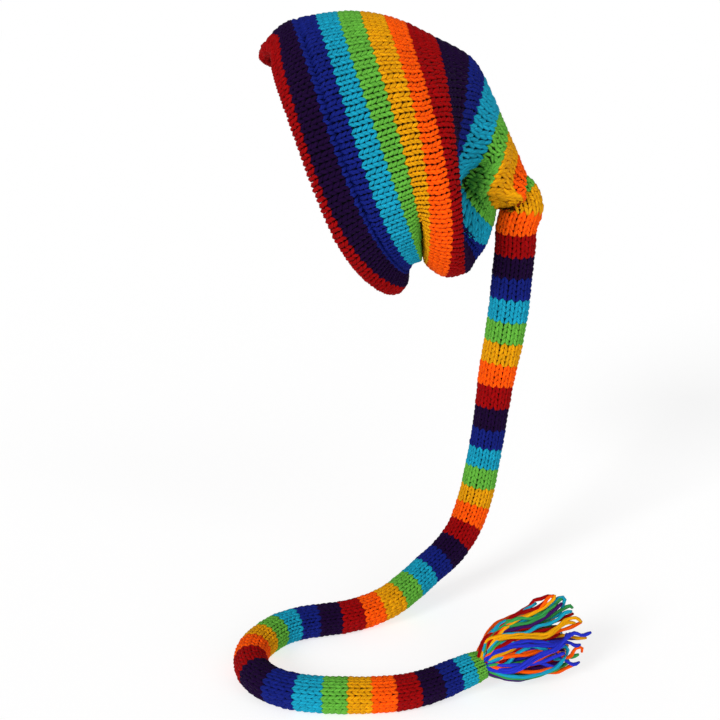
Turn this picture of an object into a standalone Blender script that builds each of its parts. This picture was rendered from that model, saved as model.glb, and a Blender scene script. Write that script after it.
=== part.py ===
"""Long-tailed beanie, hand knitted in rainbow stripes: hem, crown, tail and tassel.

Metres, +Z up. The wearer faces -X, and the hat is held as a head holds it.
The origin is the middle of the head opening. The knitted surface is worked out
from one table of sections, a row for each colour change, and one table of folds.
"""
import bpy
import numpy as np

# Driving sizes
OPENING_LENGTH = 0.194  # head opening from forehead to nape, over the hem
OPENING_WIDTH = 0.160  # head opening from ear to ear, over the hem
FABRIC = 0.0045  # thickness of one layer of the knitting
CLEARANCE = 0.0003  # kept between two pieces that touch
TAIL_LENGTH = 0.620  # knitted tube from the elbow to the gathered tip
TAIL_RADIUS = 0.0147  # outside radius of the tube just under the crown
ELBOW_SLACK = 0.0012  # the tube's turning point, outside its wall at the crown's mouth
TIP_LENGTH = 0.010  # gathered end of the tube
NECK_RADIUS = 0.0080  # bundle of yarn where it leaves the tip
NECK_LENGTH = 0.004  # bundle that still follows the tube before it spreads
TASSEL_LENGTH = 0.062  # cut yarn beyond the neck
TASSEL_SPREAD = 0.019  # how far the outer locks stand off the middle
TASSEL_RISE = 0.12  # slope of the tassel's middle
LOCK_RADIUS = 0.0086  # one lock of yarn at its fullest

# Resolution of the faceted solids
ROUND_STEPS = 44
TUBE_SIDES = 12
TUBE_STEP = 0.0115
ELBOW_RINGS = 7
LOCK_SIDES = 8
HEM_RINGS = 5
CROWN_STEP = 0.5  # stripes between two rings of the crown
CURVE_SAMPLES = 2000

HEM_END = 2.25  # stripes from the rim fold to the stitched crease
RIM = 0.5  # the first stripe is half turned in, so the outside starts here
RIM_BULGE = 0.45  # how far the rounded fold stands past the rim, in layers
RIM_EDGE = 0.4  # how far the fold's two edges lie in from the faces, in layers
NARROWING = 11.0  # the stripe from which the crown closes in on the tail's size
MOUTH = 14.0  # the last stripe that shows before the tail comes out
LEAST_LEAN = 0.6  # thins a wall that runs steeply across its section

# One row where each stripe ends. Places are shares of OPENING_LENGTH from its
# middle, at the wearer's midline, on the crown's upper side and its under side.
# half_width is a share of OPENING_WIDTH. bow moves the side of the section
# along the hat, most at bow_at (0 top, 1 underside), and sway tips it.
SECTION_COLUMNS = (
    "stripe", "top_x", "top_z", "under_x", "under_z", "half_width", "bow", "bow_at", "sway")
SECTIONS = (
    (0.5, -0.255, 0.412, 0.245, -0.455, 0.485, -0.045, 0.58, 0.020),
    (1.0, -0.205, 0.472, 0.270, -0.420, 0.497, -0.070, 0.64, 0.015),
    (2.0, -0.140, 0.518, 0.282, -0.374, 0.509, -0.045, 0.62, 0.020),
    (3.0, -0.055, 0.536, 0.300, -0.348, 0.515, -0.010, 0.55, 0.000),
    (4.0, 0.022, 0.547, 0.324, -0.330, 0.515, 0.000, 0.50, 0.000),
    (5.0, 0.100, 0.547, 0.337, -0.315, 0.509, 0.020, 0.50, 0.000),
    (6.0, 0.182, 0.535, 0.355, -0.343, 0.497, 0.048, 0.55, 0.000),
    (7.0, 0.262, 0.510, 0.408, -0.388, 0.473, 0.045, 0.50, 0.010),
    (8.0, 0.360, 0.462, 0.485, -0.375, 0.424, -0.010, 0.58, 0.020),
    (9.0, 0.478, 0.402, 0.525, -0.345, 0.352, -0.068, 0.60, 0.010),
    (10.0, 0.536, 0.330, 0.560, -0.275, 0.291, -0.098, 0.62, 0.010),
    (11.0, 0.597, 0.205, 0.586, -0.207, 0.230, -0.118, 0.64, 0.010),
    (12.0, 0.626, 0.140, 0.594, -0.168, 0.170, -0.080, 0.72, 0.000),
    (13.0, 0.666, 0.055, 0.599, -0.150, 0.121, -0.010, 0.80, -0.005),
    (14.0, 0.698, -0.018, 0.609, -0.139, 0.094, 0.000, 0.60, 0.000),
)

# One row for each fold: the stripes where it starts and ends, its two ends as
# shares of the way from the top (0) to the underside (1), its depth as a share
# of OPENING_LENGTH and its half width in stripes. It lies on both sides.
FOLD_COLUMNS = ("from_stripe", "to_stripe", "from_side", "to_side", "depth", "spread")
FOLDS = (
    (3.10, 3.10, 0.80, 1.00, 0.012, 0.60),
    (5.15, 5.00, 0.58, 1.00, 0.055, 0.52),
    (9.50, 9.20, 0.25, 0.90, 0.085, 0.90),
)

# The tail's middle line from the elbow, as shares of TAIL_LENGTH, and its radius
# there as a share of TAIL_RADIUS: it hangs, reaches the ground and lies in a loop.
ROUTE_COLUMNS = ("x", "y", "z", "radius")
ROUTE = (
    (-0.005, 0.002, -0.016, 0.99),
    (-0.006, 0.005, -0.043, 0.98),
    (-0.008, 0.008, -0.075, 0.98),
    (-0.011, 0.008, -0.116, 0.98),
    (-0.016, 0.008, -0.156, 0.96),
    (-0.023, 0.006, -0.196, 0.91),
    (-0.028, 0.003, -0.237, 0.84),
    (-0.033, 0.002, -0.277, 0.83),
    (-0.039, -0.002, -0.312, 0.84),
    (-0.047, -0.006, -0.350, 0.85),
    (-0.058, -0.016, -0.377, 0.83),
    (-0.079, -0.032, -0.403, 0.82),
    (-0.104, -0.050, -0.419, 0.80),
    (-0.129, -0.071, -0.433, 0.79),
    (-0.154, -0.090, -0.443, 0.78),
    (-0.175, -0.100, -0.448, 0.78),
    (-0.200, -0.111, -0.450, 0.77),
    (-0.226, -0.119, -0.450, 0.77),
    (-0.250, -0.127, -0.450, 0.77),
    (-0.270, -0.140, -0.450, 0.77),
    (-0.286, -0.161, -0.450, 0.77),
    (-0.297, -0.185, -0.450, 0.77),
    (-0.300, -0.213, -0.450, 0.77),
    (-0.294, -0.239, -0.450, 0.77),
    (-0.280, -0.260, -0.450, 0.77),
    (-0.257, -0.276, -0.450, 0.77),
    (-0.229, -0.284, -0.450, 0.77),
    (-0.197, -0.286, -0.450, 0.77),
    (-0.165, -0.285, -0.450, 0.76),
    (-0.136, -0.279, -0.450, 0.75),
    (-0.110, -0.269, -0.448, 0.74),
    (-0.087, -0.258, -0.444, 0.72),
    (-0.071, -0.252, -0.440, 0.70),
)

# One row for each lock: its bearing round the neck in degrees, its distance off
# the middle as a share of TASSEL_SPREAD, its length as a share of TASSEL_LENGTH,
# its lift at the tip as a share of TASSEL_SPREAD, and its fullness.
LOCK_COLUMNS = ("bearing", "offset", "length", "lift", "fullness")
LOCKS = (
    (90, 1.20, 0.88, 0.50, 0.95),
    (55, 1.10, 0.98, 0.20, 1.00),
    (125, 1.05, 0.90, 0.25, 0.95),
    (15, 0.95, 1.02, 0.00, 1.00),
    (165, 0.80, 0.92, 0.00, 1.00),
    (335, 0.92, 1.00, 0.00, 1.00),
    (205, 0.72, 0.94, 0.00, 1.00),
    (290, 0.92, 0.96, 0.00, 1.00),
    (250, 0.80, 0.92, 0.00, 1.00),
    (30, 0.25, 1.06, 0.05, 1.10),
)

# Yarn colours in the order they are knitted from the rim
YARNS = (
    ("red", (0.38, 0.003, 0.008)),
    ("purple", (0.020, 0.004, 0.045)),
    ("navy", (0.014, 0.020, 0.26)),
    ("cyan", (0.020, 0.37, 0.60)),
    ("green", (0.13, 0.52, 0.055)),
    ("yellow", (0.82, 0.42, 0.012)),
    ("orange", (0.95, 0.13, 0.006)),
)
YARN_ROUGHNESS = 0.9

# The tail's gathered tip: the way along TIP_LENGTH and the share of the radius left
TIP_COLUMNS = ("way", "radius")
TIP = ((0.4, 0.97), (0.8, 0.88))

# The tassel's neck past the tip: the way along TASSEL_LENGTH and the share of NECK_RADIUS
NECK_COLUMNS = ("way", "radius")
NECK = ((0.1, 1.5), (0.25, 1.7))

# One row for each ring of a lock: the way along it, the share of its offset that it has
# reached there, and the share of LOCK_RADIUS
LOCK_RING_COLUMNS = ("way", "swell", "radius")
LOCK_RINGS = (
    (0.00, 0.15, 0.50),
    (0.12, 0.60, 0.78),
    (0.32, 0.95, 1.00),
    (0.60, 1.00, 1.00),
    (0.85, 0.98, 0.88),
    (1.00, 0.92, 0.45),
)


def columns(names, rows):
    """The table's columns as arrays, by name."""
    return dict(zip(names, np.array(rows, float).T))


def spline(at, knots, values):
    """A smooth curve through the values at the knots, with each knot's slope from its neighbours."""
    slope = np.gradient(values, knots, axis=0)
    i = np.clip(np.searchsorted(knots, at, side="right") - 1, 0, len(knots) - 2)
    span = knots[i + 1] - knots[i]
    t = (at - knots[i]) / span
    if values.ndim > 1:
        span, t = span[:, None], t[:, None]
    start = (2 * t**3 - 3 * t**2 + 1) * values[i] + (t**3 - 2 * t**2 + t) * span * slope[i]
    return start + (3 * t**2 - 2 * t**3) * values[i + 1] + (t**3 - t**2) * span * slope[i + 1]


def ramp(x):
    """0 below 0 and 1 above 1, with a smooth step between."""
    x = np.clip(x, 0, 1)
    return x * x * (3 - 2 * x)


def unit(v):
    return v / np.linalg.norm(v, axis=-1, keepdims=True)


def mouth_size():
    """Half the height and half the width of the section in the table's last row."""
    last = dict(zip(SECTION_COLUMNS, SECTIONS[-1]))
    height = np.hypot(last["top_x"] - last["under_x"], last["top_z"] - last["under_z"])
    return height * OPENING_LENGTH / 2, last["half_width"] * OPENING_WIDTH


def knitted_surface(stripe, turn):
    """Points on the outside of hem and crown, and the direction square to each section.
    stripe counts from the rim, and turn goes once round from the top, by the wearer's
    left side at a quarter."""
    table = columns(SECTION_COLUMNS, SECTIONS)
    at = {name: spline(stripe, table["stripe"], table[name]) for name in SECTION_COLUMNS[1:]}
    top = np.stack([at["top_x"], at["top_z"]], -1) * OPENING_LENGTH
    under = np.stack([at["under_x"], at["under_z"]], -1) * OPENING_LENGTH
    half = (top - under) / 2
    wide = at["half_width"] * OPENING_WIDTH
    closing = ramp((stripe - NARROWING) / (MOUTH - NARROWING))
    mouth_half, mouth_wide = mouth_size()
    half = half * (1 + (TAIL_RADIUS / mouth_half - 1) * closing)[..., None]
    wide = wide * (1 + (TAIL_RADIUS / mouth_wide - 1) * closing)
    along = unit(np.stack([half[..., 1], -half[..., 0]], -1))
    side = np.abs((turn + 0.5) % 1.0 - 0.5) * 2
    peak = side ** (np.log(0.5) / np.log(at["bow_at"]))
    shift = at["bow"] * np.sin(np.pi * peak) ** 2 + at["sway"] * np.sin(2 * np.pi * side)
    inward = np.zeros_like(side)
    fold = columns(FOLD_COLUMNS, FOLDS)
    for i in range(len(FOLDS)):
        way = np.clip((side - fold["from_side"][i]) / (fold["to_side"][i] - fold["from_side"][i]), 0, 1)
        middle = fold["from_stripe"][i] + (fold["to_stripe"][i] - fold["from_stripe"][i]) * way
        across = np.exp(-(((stripe - middle) / fold["spread"][i]) ** 2))
        inward += fold["depth"][i] * ramp(way) * across
    middle_radius = (OPENING_LENGTH + OPENING_WIDTH) / 4
    keep = 1 - inward * OPENING_LENGTH / middle_radius
    angle = 2 * np.pi * turn
    flat = (top + under) / 2 + half * (np.cos(angle) * keep)[..., None]
    flat = flat + along * (shift * OPENING_LENGTH)[..., None]
    points = np.stack([flat[..., 0], -wide * np.sin(angle) * keep, flat[..., 1]], -1)
    return points, np.stack([along[..., 0], np.zeros_like(side), along[..., 1]], -1)


def wall_directions(rows, axes):
    """For rings of points, the way into the hat that stays in each ring's own section, as long
    as it must be to cross a wall of thickness 1."""
    around = np.roll(rows, -1, axis=1) - np.roll(rows, 1, axis=1)
    outward = unit(np.cross(around, np.gradient(rows, axis=0)))
    inward = -unit(np.cross(around, axes))
    lean = -np.sum(outward * inward, axis=-1, keepdims=True)
    return inward / np.clip(lean, LEAST_LEAN, 1)


def new_object(name, points, faces, colour):
    """A named object from points and faces, shaded smooth, with its own yarn material."""
    mesh = bpy.data.meshes.new(name)
    mesh.from_pydata([tuple(p) for p in points], [], faces)
    mesh.validate()
    mesh.shade_smooth()
    material = bpy.data.materials.new(name + "_yarn")
    material.use_nodes = True
    shader = material.node_tree.nodes["Principled BSDF"]
    shader.inputs["Base Color"].default_value = (*dict(YARNS)[colour], 1)
    shader.inputs["Roughness"].default_value = YARN_ROUGHNESS
    mesh.materials.append(material)
    made = bpy.data.objects.new(name, mesh)
    bpy.context.scene.collection.objects.link(made)
    return made


def ring_faces(rings, steps, first=0, closed=False):
    """Quads between neighbouring rings of points, and back to the first ring if closed."""
    faces = []
    for i in range(rings if closed else rings - 1):
        a, b = first + i * steps, first + (i + 1) % rings * steps
        for j in range(steps):
            k = (j + 1) % steps
            faces.append((a + j, a + k, b + k, b + j))
    return faces


def hat_rows():
    """Rings of points over hem and crown, the way through their wall, and the ring where the
    crown starts."""
    hem = np.linspace(RIM, HEM_END, HEM_RINGS)
    crown = np.arange(HEM_END + CROWN_STEP, MOUTH, CROWN_STEP)
    stripes = np.concatenate([hem, crown, [MOUTH]])
    turns = np.arange(ROUND_STEPS) / ROUND_STEPS
    rows, axes = knitted_surface(*np.meshgrid(stripes, turns, indexing="ij"))
    return rows, wall_directions(rows, axes), len(hem) - 1


def make_hem(rows, inward):
    """The doubled hem: the band of outer rings, a rounded fold at the rim, and the turned-in
    rings, which thin to one layer at the stitched crease."""
    layers = np.full(len(rows), 2.0)
    layers[-1] = 1
    inner = rows + inward * FABRIC * layers[:, None, None]
    bulge = unit(rows[0] - rows[1]) * FABRIC * RIM_BULGE
    edge_out = rows[0] + inward[0] * FABRIC * RIM_EDGE + bulge
    edge_in = rows[0] + inward[0] * FABRIC * (layers[0] - RIM_EDGE) + bulge
    loops = [*rows, *inner[::-1], edge_in, edge_out]
    points = np.concatenate(loops)
    return new_object("brim_hem", points, ring_faces(len(loops), ROUND_STEPS, closed=True), "red")


def make_crown(rows, inward):
    """The hollow crown: outer rings from the hem to the tail's start, and inner rings back."""
    rows = rows.copy()
    rows[0] += unit(rows[1] - rows[0]) * CLEARANCE
    inner = rows + inward * FABRIC
    loops = [*rows, *inner[::-1]]
    points = np.concatenate(loops)
    return new_object("crown", points, ring_faces(len(loops), ROUND_STEPS, closed=True), "green")


def elbow_line(mouth):
    """Points along the tube's middle where it turns from the crown's mouth to straight down."""
    top, under = mouth[0], mouth[ROUND_STEPS // 2]
    rise = unit(top - under)
    start = (top + under) / 2 + np.array([rise[2], 0, -rise[0]]) * CLEARANCE
    bend = TAIL_RADIUS + ELBOW_SLACK
    pivot = start - rise * bend
    angle = np.linspace(np.arctan2(rise[2], rise[0]), 0, ELBOW_RINGS)
    return pivot + bend * np.stack([np.cos(angle), 0 * angle, np.sin(angle)], -1)


def tail_line(mouth):
    """Points along the tail's middle and the radius at each: round the elbow, along the route."""
    elbow = elbow_line(mouth)
    route = columns(ROUTE_COLUMNS, ROUTE)
    points = np.stack([route["x"], route["y"], route["z"]], -1) * TAIL_LENGTH + elbow[-1]
    points = np.vstack([elbow[-1], points])
    radii = np.concatenate([[1.0], route["radius"]]) * TAIL_RADIUS
    line, radii = resample(points, radii, TUBE_STEP)
    return np.vstack([elbow[:-1], line]), np.concatenate([[TAIL_RADIUS] * (ELBOW_RINGS - 1), radii])


def resample(points, values, step):
    """The smooth curve through the points, read about every step, with the values there."""
    knots = np.concatenate([[0], np.cumsum(np.linalg.norm(np.diff(points, axis=0), axis=1))])
    fine = np.linspace(0, knots[-1], CURVE_SAMPLES)
    line = spline(fine, knots, points)
    length = np.concatenate([[0], np.cumsum(np.linalg.norm(np.diff(line, axis=0), axis=1))])
    at = np.linspace(0, length[-1], int(round(length[-1] / step)) + 1)
    line = np.stack([np.interp(at, length, line[:, k]) for k in range(3)], -1)
    return line, spline(np.interp(at, length, fine), knots, values)


def tube_rings(line, radii, sides):
    """Rings of points square to the line, carried along it without twist."""
    length = np.concatenate([[0], np.cumsum(np.linalg.norm(np.diff(line, axis=0), axis=1))])
    tangent = unit(np.gradient(line, length, axis=0, edge_order=2))
    side = np.array([0.0, 1.0, 0.0])
    rings = []
    angle = 2 * np.pi * np.arange(sides) / sides
    for centre, direction, radius in zip(line, tangent, radii):
        side = unit(side - direction * np.dot(side, direction))
        other = np.cross(direction, side)
        rings.append(centre + radius * (np.outer(np.cos(angle), side) + np.outer(np.sin(angle), other)))
    return np.array(rings), tangent


def make_tail(line, radii):
    """The knitted tube, open at its top end, and gathered to the neck at its tip. Gives the
    middle of its end and the way that it points there."""
    rings, tangent = tube_rings(line, radii, TUBE_SIDES)
    inner, _ = tube_rings(line, radii - FABRIC, TUBE_SIDES)
    end, out, radius = line[-1], tangent[-1], radii[-1]
    tip = [end + out * TIP_LENGTH * way + (rings[-1] - end) * share for way, share in TIP]
    mouth = end + out * TIP_LENGTH
    seat = mouth + (rings[-1] - end) * NECK_RADIUS / radius
    loops = [*rings, *tip, seat, *inner[::-1]]
    points = np.concatenate(loops)
    new_object("tail", points, ring_faces(len(loops), TUBE_SIDES, closed=True), "orange")
    return mouth, out


def make_lock(root, out, up, side, lock):
    """One lock: a tapered bundle that leaves the neck, swells, and ends in a blunt tip."""
    bearing = np.radians(lock["bearing"])
    off = (np.cos(bearing) * side + np.sin(bearing) * up) * lock["offset"] * TASSEL_SPREAD
    reach = out * lock["length"] * TASSEL_LENGTH
    lift = up * lock["lift"] * TASSEL_SPREAD
    ring = columns(LOCK_RING_COLUMNS, LOCK_RINGS)
    line = root + np.outer(ring["way"], reach) + np.outer(ring["swell"], off)
    line = line + np.outer(ring["way"] ** 2, lift)
    rings, _ = tube_rings(line, ring["radius"] * LOCK_RADIUS * lock["fullness"], LOCK_SIDES)
    return rings.reshape(-1, 3), capped_faces(len(rings), LOCK_SIDES)


def capped_faces(rings, sides):
    """The faces of a closed tube of rings with flat ends."""
    faces = ring_faces(rings, sides)
    last = (rings - 1) * sides
    return [*faces, tuple(range(sides))[::-1], tuple(range(last, last + sides))]


def make_tassel(root, out):
    """Locks of yarn fused to a short neck that sits in the tail's tip. The neck leaves along
    the tube, and the locks spread about a middle that rises a little."""
    up = np.array([0.0, 0.0, 1.0])
    axis = unit(unit(out * np.array([1, 1, 0])) + up * TASSEL_RISE)
    side = unit(np.cross(up, axis))
    up = np.cross(axis, side)
    seat = root + out * CLEARANCE
    turn = seat + out * NECK_LENGTH
    neck = columns(NECK_COLUMNS, NECK)
    spread = turn + np.outer(neck["way"], axis) * TASSEL_LENGTH
    neck_line = np.vstack([seat, (seat + turn) / 2, turn, spread])
    radii = np.concatenate([[1, 1, 1.15], neck["radius"]]) * NECK_RADIUS
    rings, _ = tube_rings(neck_line, radii, TUBE_SIDES)
    faces = capped_faces(len(rings), TUBE_SIDES)
    tassel = new_object("tassel", rings.reshape(-1, 3), faces, "navy")
    for row in LOCKS:
        lock = dict(zip(LOCK_COLUMNS, row))
        points, lock_faces = make_lock(turn, axis, up, side, lock)
        cutter = new_object("lock", points, lock_faces, "navy")
        union = tassel.modifiers.new("fuse", "BOOLEAN")
        union.operation = "UNION"
        union.solver = "EXACT"
        union.object = cutter
        bpy.context.view_layer.update()
        fused = bpy.data.meshes.new_from_object(
            tassel.evaluated_get(bpy.context.evaluated_depsgraph_get()))
        tassel.modifiers.clear()
        tassel.data = fused
        bpy.data.objects.remove(cutter)
    tassel.data.shade_smooth()
    return tassel


def clear_scene():
    for old in list(bpy.data.objects):
        bpy.data.objects.remove(old)


clear_scene()
hat, hat_inward, seam = hat_rows()
make_hem(hat[: seam + 1], hat_inward[: seam + 1])
make_crown(hat[seam:], hat_inward[seam:])
tail_end, tail_way = make_tail(*tail_line(hat[-1]))
make_tassel(tail_end, tail_way)
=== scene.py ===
"""Long-tailed beanie, hand knitted in rainbow stripes: the stitches, yarns and tassel.

Metres, +Z up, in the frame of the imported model. The wearer faces -X. The sections follow
the hat as it is knitted: hem, crown, tail and tassel.
"""

import bpy
import numpy as np
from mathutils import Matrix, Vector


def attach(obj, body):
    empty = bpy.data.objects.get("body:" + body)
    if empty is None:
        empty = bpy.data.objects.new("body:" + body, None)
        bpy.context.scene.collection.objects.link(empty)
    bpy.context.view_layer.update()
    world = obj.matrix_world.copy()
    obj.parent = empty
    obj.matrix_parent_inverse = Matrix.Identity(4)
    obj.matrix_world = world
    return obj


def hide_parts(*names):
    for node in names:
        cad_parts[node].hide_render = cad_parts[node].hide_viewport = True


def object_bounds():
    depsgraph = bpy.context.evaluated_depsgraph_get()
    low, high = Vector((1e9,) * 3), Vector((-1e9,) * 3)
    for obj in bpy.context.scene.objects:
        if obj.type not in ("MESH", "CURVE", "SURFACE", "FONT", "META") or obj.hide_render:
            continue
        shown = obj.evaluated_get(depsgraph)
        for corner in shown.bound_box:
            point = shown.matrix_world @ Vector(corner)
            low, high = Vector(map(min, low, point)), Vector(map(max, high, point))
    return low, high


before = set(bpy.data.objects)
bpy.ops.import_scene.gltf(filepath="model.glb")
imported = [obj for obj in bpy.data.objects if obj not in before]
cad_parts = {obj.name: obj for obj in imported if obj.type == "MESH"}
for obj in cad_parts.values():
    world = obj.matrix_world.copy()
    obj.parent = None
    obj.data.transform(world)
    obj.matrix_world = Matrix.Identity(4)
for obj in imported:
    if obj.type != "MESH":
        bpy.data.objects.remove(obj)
cad_low, cad_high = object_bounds()

# Camera. It stands beside the wearer's left shoulder, a little above the hat, and looks
# down on it, so that the crown, the hanging tail and its loop all show.
CAMERA_AT = (0.0195, -0.9, 0.1034)
CAMERA_DOWN = np.radians(15)
CAMERA_LENS = 64.3  # millimetres
CAMERA_SENSOR = 36

lens = bpy.data.cameras.new("camera")
lens.lens = CAMERA_LENS
lens.sensor_width = CAMERA_SENSOR
camera = bpy.data.objects.new("camera", lens)
camera.location = CAMERA_AT
camera.rotation_euler = (np.pi / 2 - CAMERA_DOWN, 0, 0)
bpy.context.scene.collection.objects.link(camera)
bpy.context.scene.camera = camera

# Hem. A doubled band round the head opening in thick red and purple yarn, knitted in one
# with the crown, then turned in and sewn down inside along a crease. Each stitch shows as
# two legs of yarn that meet in a point away from the rim.
OPENING_LENGTH = 0.194  # forehead to nape, over the hem
OPENING_WIDTH = 0.160  # ear to ear, over the hem
FABRIC = 0.0045  # thickness of one layer
TAIL_RADIUS = 0.0147  # where the tail starts
FOLD_OUT = 0.65  # the stripe where the rim's rounded fold ends and the outside starts
NARROWING = 11.0  # the stripe from which the crown closes in on the tail's size
MOUTH = 14.0  # the stripe where the tail comes out

# Hem and crown are one tube of cloth, and each row is where a stripe ends: its top and
# underside as shares of the opening's length, and its half width as a share of the opening's
# width. Its sides run along the hat by bow, most at bow_at, and are tipped by sway. Here a
# side is a place on the way down, from 0 at the top to 1 at the underside.
SECTION_COLUMNS = (
    "stripe", "top_x", "top_z", "under_x", "under_z", "half_width", "bow", "bow_at", "sway")
SECTIONS = (
    (0.5, -0.259, 0.415, 0.252, -0.448, 0.485, -0.054, 0.60, 0.018),
    (1.0, -0.209, 0.472, 0.274, -0.420, 0.497, -0.078, 0.58, 0.010),
    (2.0, -0.140, 0.518, 0.282, -0.374, 0.509, -0.042, 0.58, 0.010),
    (3.0, -0.055, 0.536, 0.300, -0.348, 0.515, -0.028, 0.62, 0.006),
    (4.0, 0.022, 0.547, 0.324, -0.330, 0.515, 0.000, 0.50, 0.000),
    (5.0, 0.100, 0.547, 0.337, -0.315, 0.509, 0.020, 0.50, 0.000),
    (6.0, 0.182, 0.535, 0.338, -0.343, 0.497, 0.048, 0.50, 0.000),
    (7.0, 0.262, 0.510, 0.405, -0.388, 0.473, 0.050, 0.52, -0.006),
    (8.0, 0.360, 0.462, 0.485, -0.375, 0.424, 0.008, 0.50, 0.008),
    (9.0, 0.478, 0.402, 0.525, -0.345, 0.352, -0.085, 0.58, 0.002),
    (10.0, 0.536, 0.330, 0.560, -0.275, 0.291, -0.135, 0.60, 0.000),
    (11.0, 0.597, 0.205, 0.586, -0.207, 0.230, -0.135, 0.65, -0.012),
    (12.0, 0.626, 0.140, 0.594, -0.148, 0.170, -0.060, 0.68, 0.000),
    (13.0, 0.666, 0.055, 0.599, -0.150, 0.121, -0.010, 0.80, 0.000),
    (14.0, 0.698, -0.018, 0.609, -0.139, 0.094, 0.000, 0.60, 0.000),
)
# The folds: the stripes and sides where each starts and ends, the side where it has faded
# out, its depth as a share of the opening's length, and its half width in stripes
FOLD_COLUMNS = (
    "from_stripe", "to_stripe", "from_side", "to_side", "end_side", "depth", "spread")
FOLDS = (
    (3.10, 3.10, 0.80, 1.00, 1.30, 0.012, 0.60),
    (5.15, 5.00, 0.58, 1.00, 1.30, 0.070, 0.52),
    (9.40, 9.10, 0.25, 0.90, 1.08, 0.080, 0.50),
    (10.85, 11.05, 0.22, 0.62, 1.00, 0.275, 0.42),
    (11.90, 12.10, 0.20, 0.50, 0.82, -0.130, 0.45),
)
FOLD_FADE = 0.3  # a fold fades out over this much of the side
# A crease runs along the hat above the tail: its side and half width, its depth as a share
# of the opening's length, the stripes where it starts and ends, and how fast it does
PINCH = 0.74
PINCH_SPREAD = 0.055
PINCH_DEPTH = 0.06
PINCH_FROM = 10.9
PINCH_TO = 12.4
PINCH_EASE = 0.5
# At the forehead the rim of the far side sags out past the near side, which draws back
SAG_FAR = 0.034
SAG_NEAR = -0.024
SAG_AT = 0.090
SAG_SPREAD = 0.045  # towards the top
SAG_REACH = 0.085  # and down the side
SAG_END = 2.0  # the stripe where it ends
# Two lobes of cloth hang over the tail's start, one on each side: by how many metres each
# stripe is drawn out along the hat, sideways and up, and at which side and how wide
LOBE_COLUMNS = ("stripe", "at", "spread", "along", "sideways", "up")
LOBE = (
    (10.3, 0.84, 0.12, 0.000, 0.000, 0.000),
    (11.0, 0.84, 0.12, -0.0045, 0.001, -0.002),
    (11.6, 0.80, 0.14, 0.000, 0.000, 0.000),
    (12.0, 0.80, 0.15, 0.001, 0.002, 0.002),
    (12.5, 0.81, 0.18, 0.010, 0.006, 0.003),
    (13.0, 0.82, 0.22, 0.0170, 0.009, 0.006),
    (13.5, 0.78, 0.28, 0.0155, 0.006, 0.006),
    (14.0, 0.70, 0.36, 0.0100, 0.003, 0.004),
)


def columns(names, rows):
    """The table's columns as arrays, by name."""
    return dict(zip(names, np.array(rows, float).T))


def spline(at, knots, values):
    """A smooth curve through values at knots: cubic pieces whose slope at a knot is the
    mean slope of its neighbours."""
    slope = np.gradient(values, knots, axis=0)
    i = np.clip(np.searchsorted(knots, at, side="right") - 1, 0, len(knots) - 2)
    span = knots[i + 1] - knots[i]
    t = (at - knots[i]) / span
    if values.ndim > 1:
        span, t = span[:, None], t[:, None]
    start = (2 * t**3 - 3 * t**2 + 1) * values[i] + (t**3 - 2 * t**2 + t) * span * slope[i]
    return start + (3 * t**2 - 2 * t**3) * values[i + 1] + (t**3 - t**2) * span * slope[i + 1]


def ramp(x):
    """0 below 0 and 1 above 1, with a smooth step 3x^2 - 2x^3 between."""
    x = np.clip(x, 0, 1)
    return x * x * (3 - 2 * x)


def unit(v):
    """Vectors divided by their length."""
    return v / np.linalg.norm(v, axis=-1, keepdims=True)


def side_of(turn):
    """How far down the side a turn is, from 0 at the top to 1 at the underside."""
    return np.abs((turn + 0.5) % 1.0 - 0.5) * 2


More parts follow.
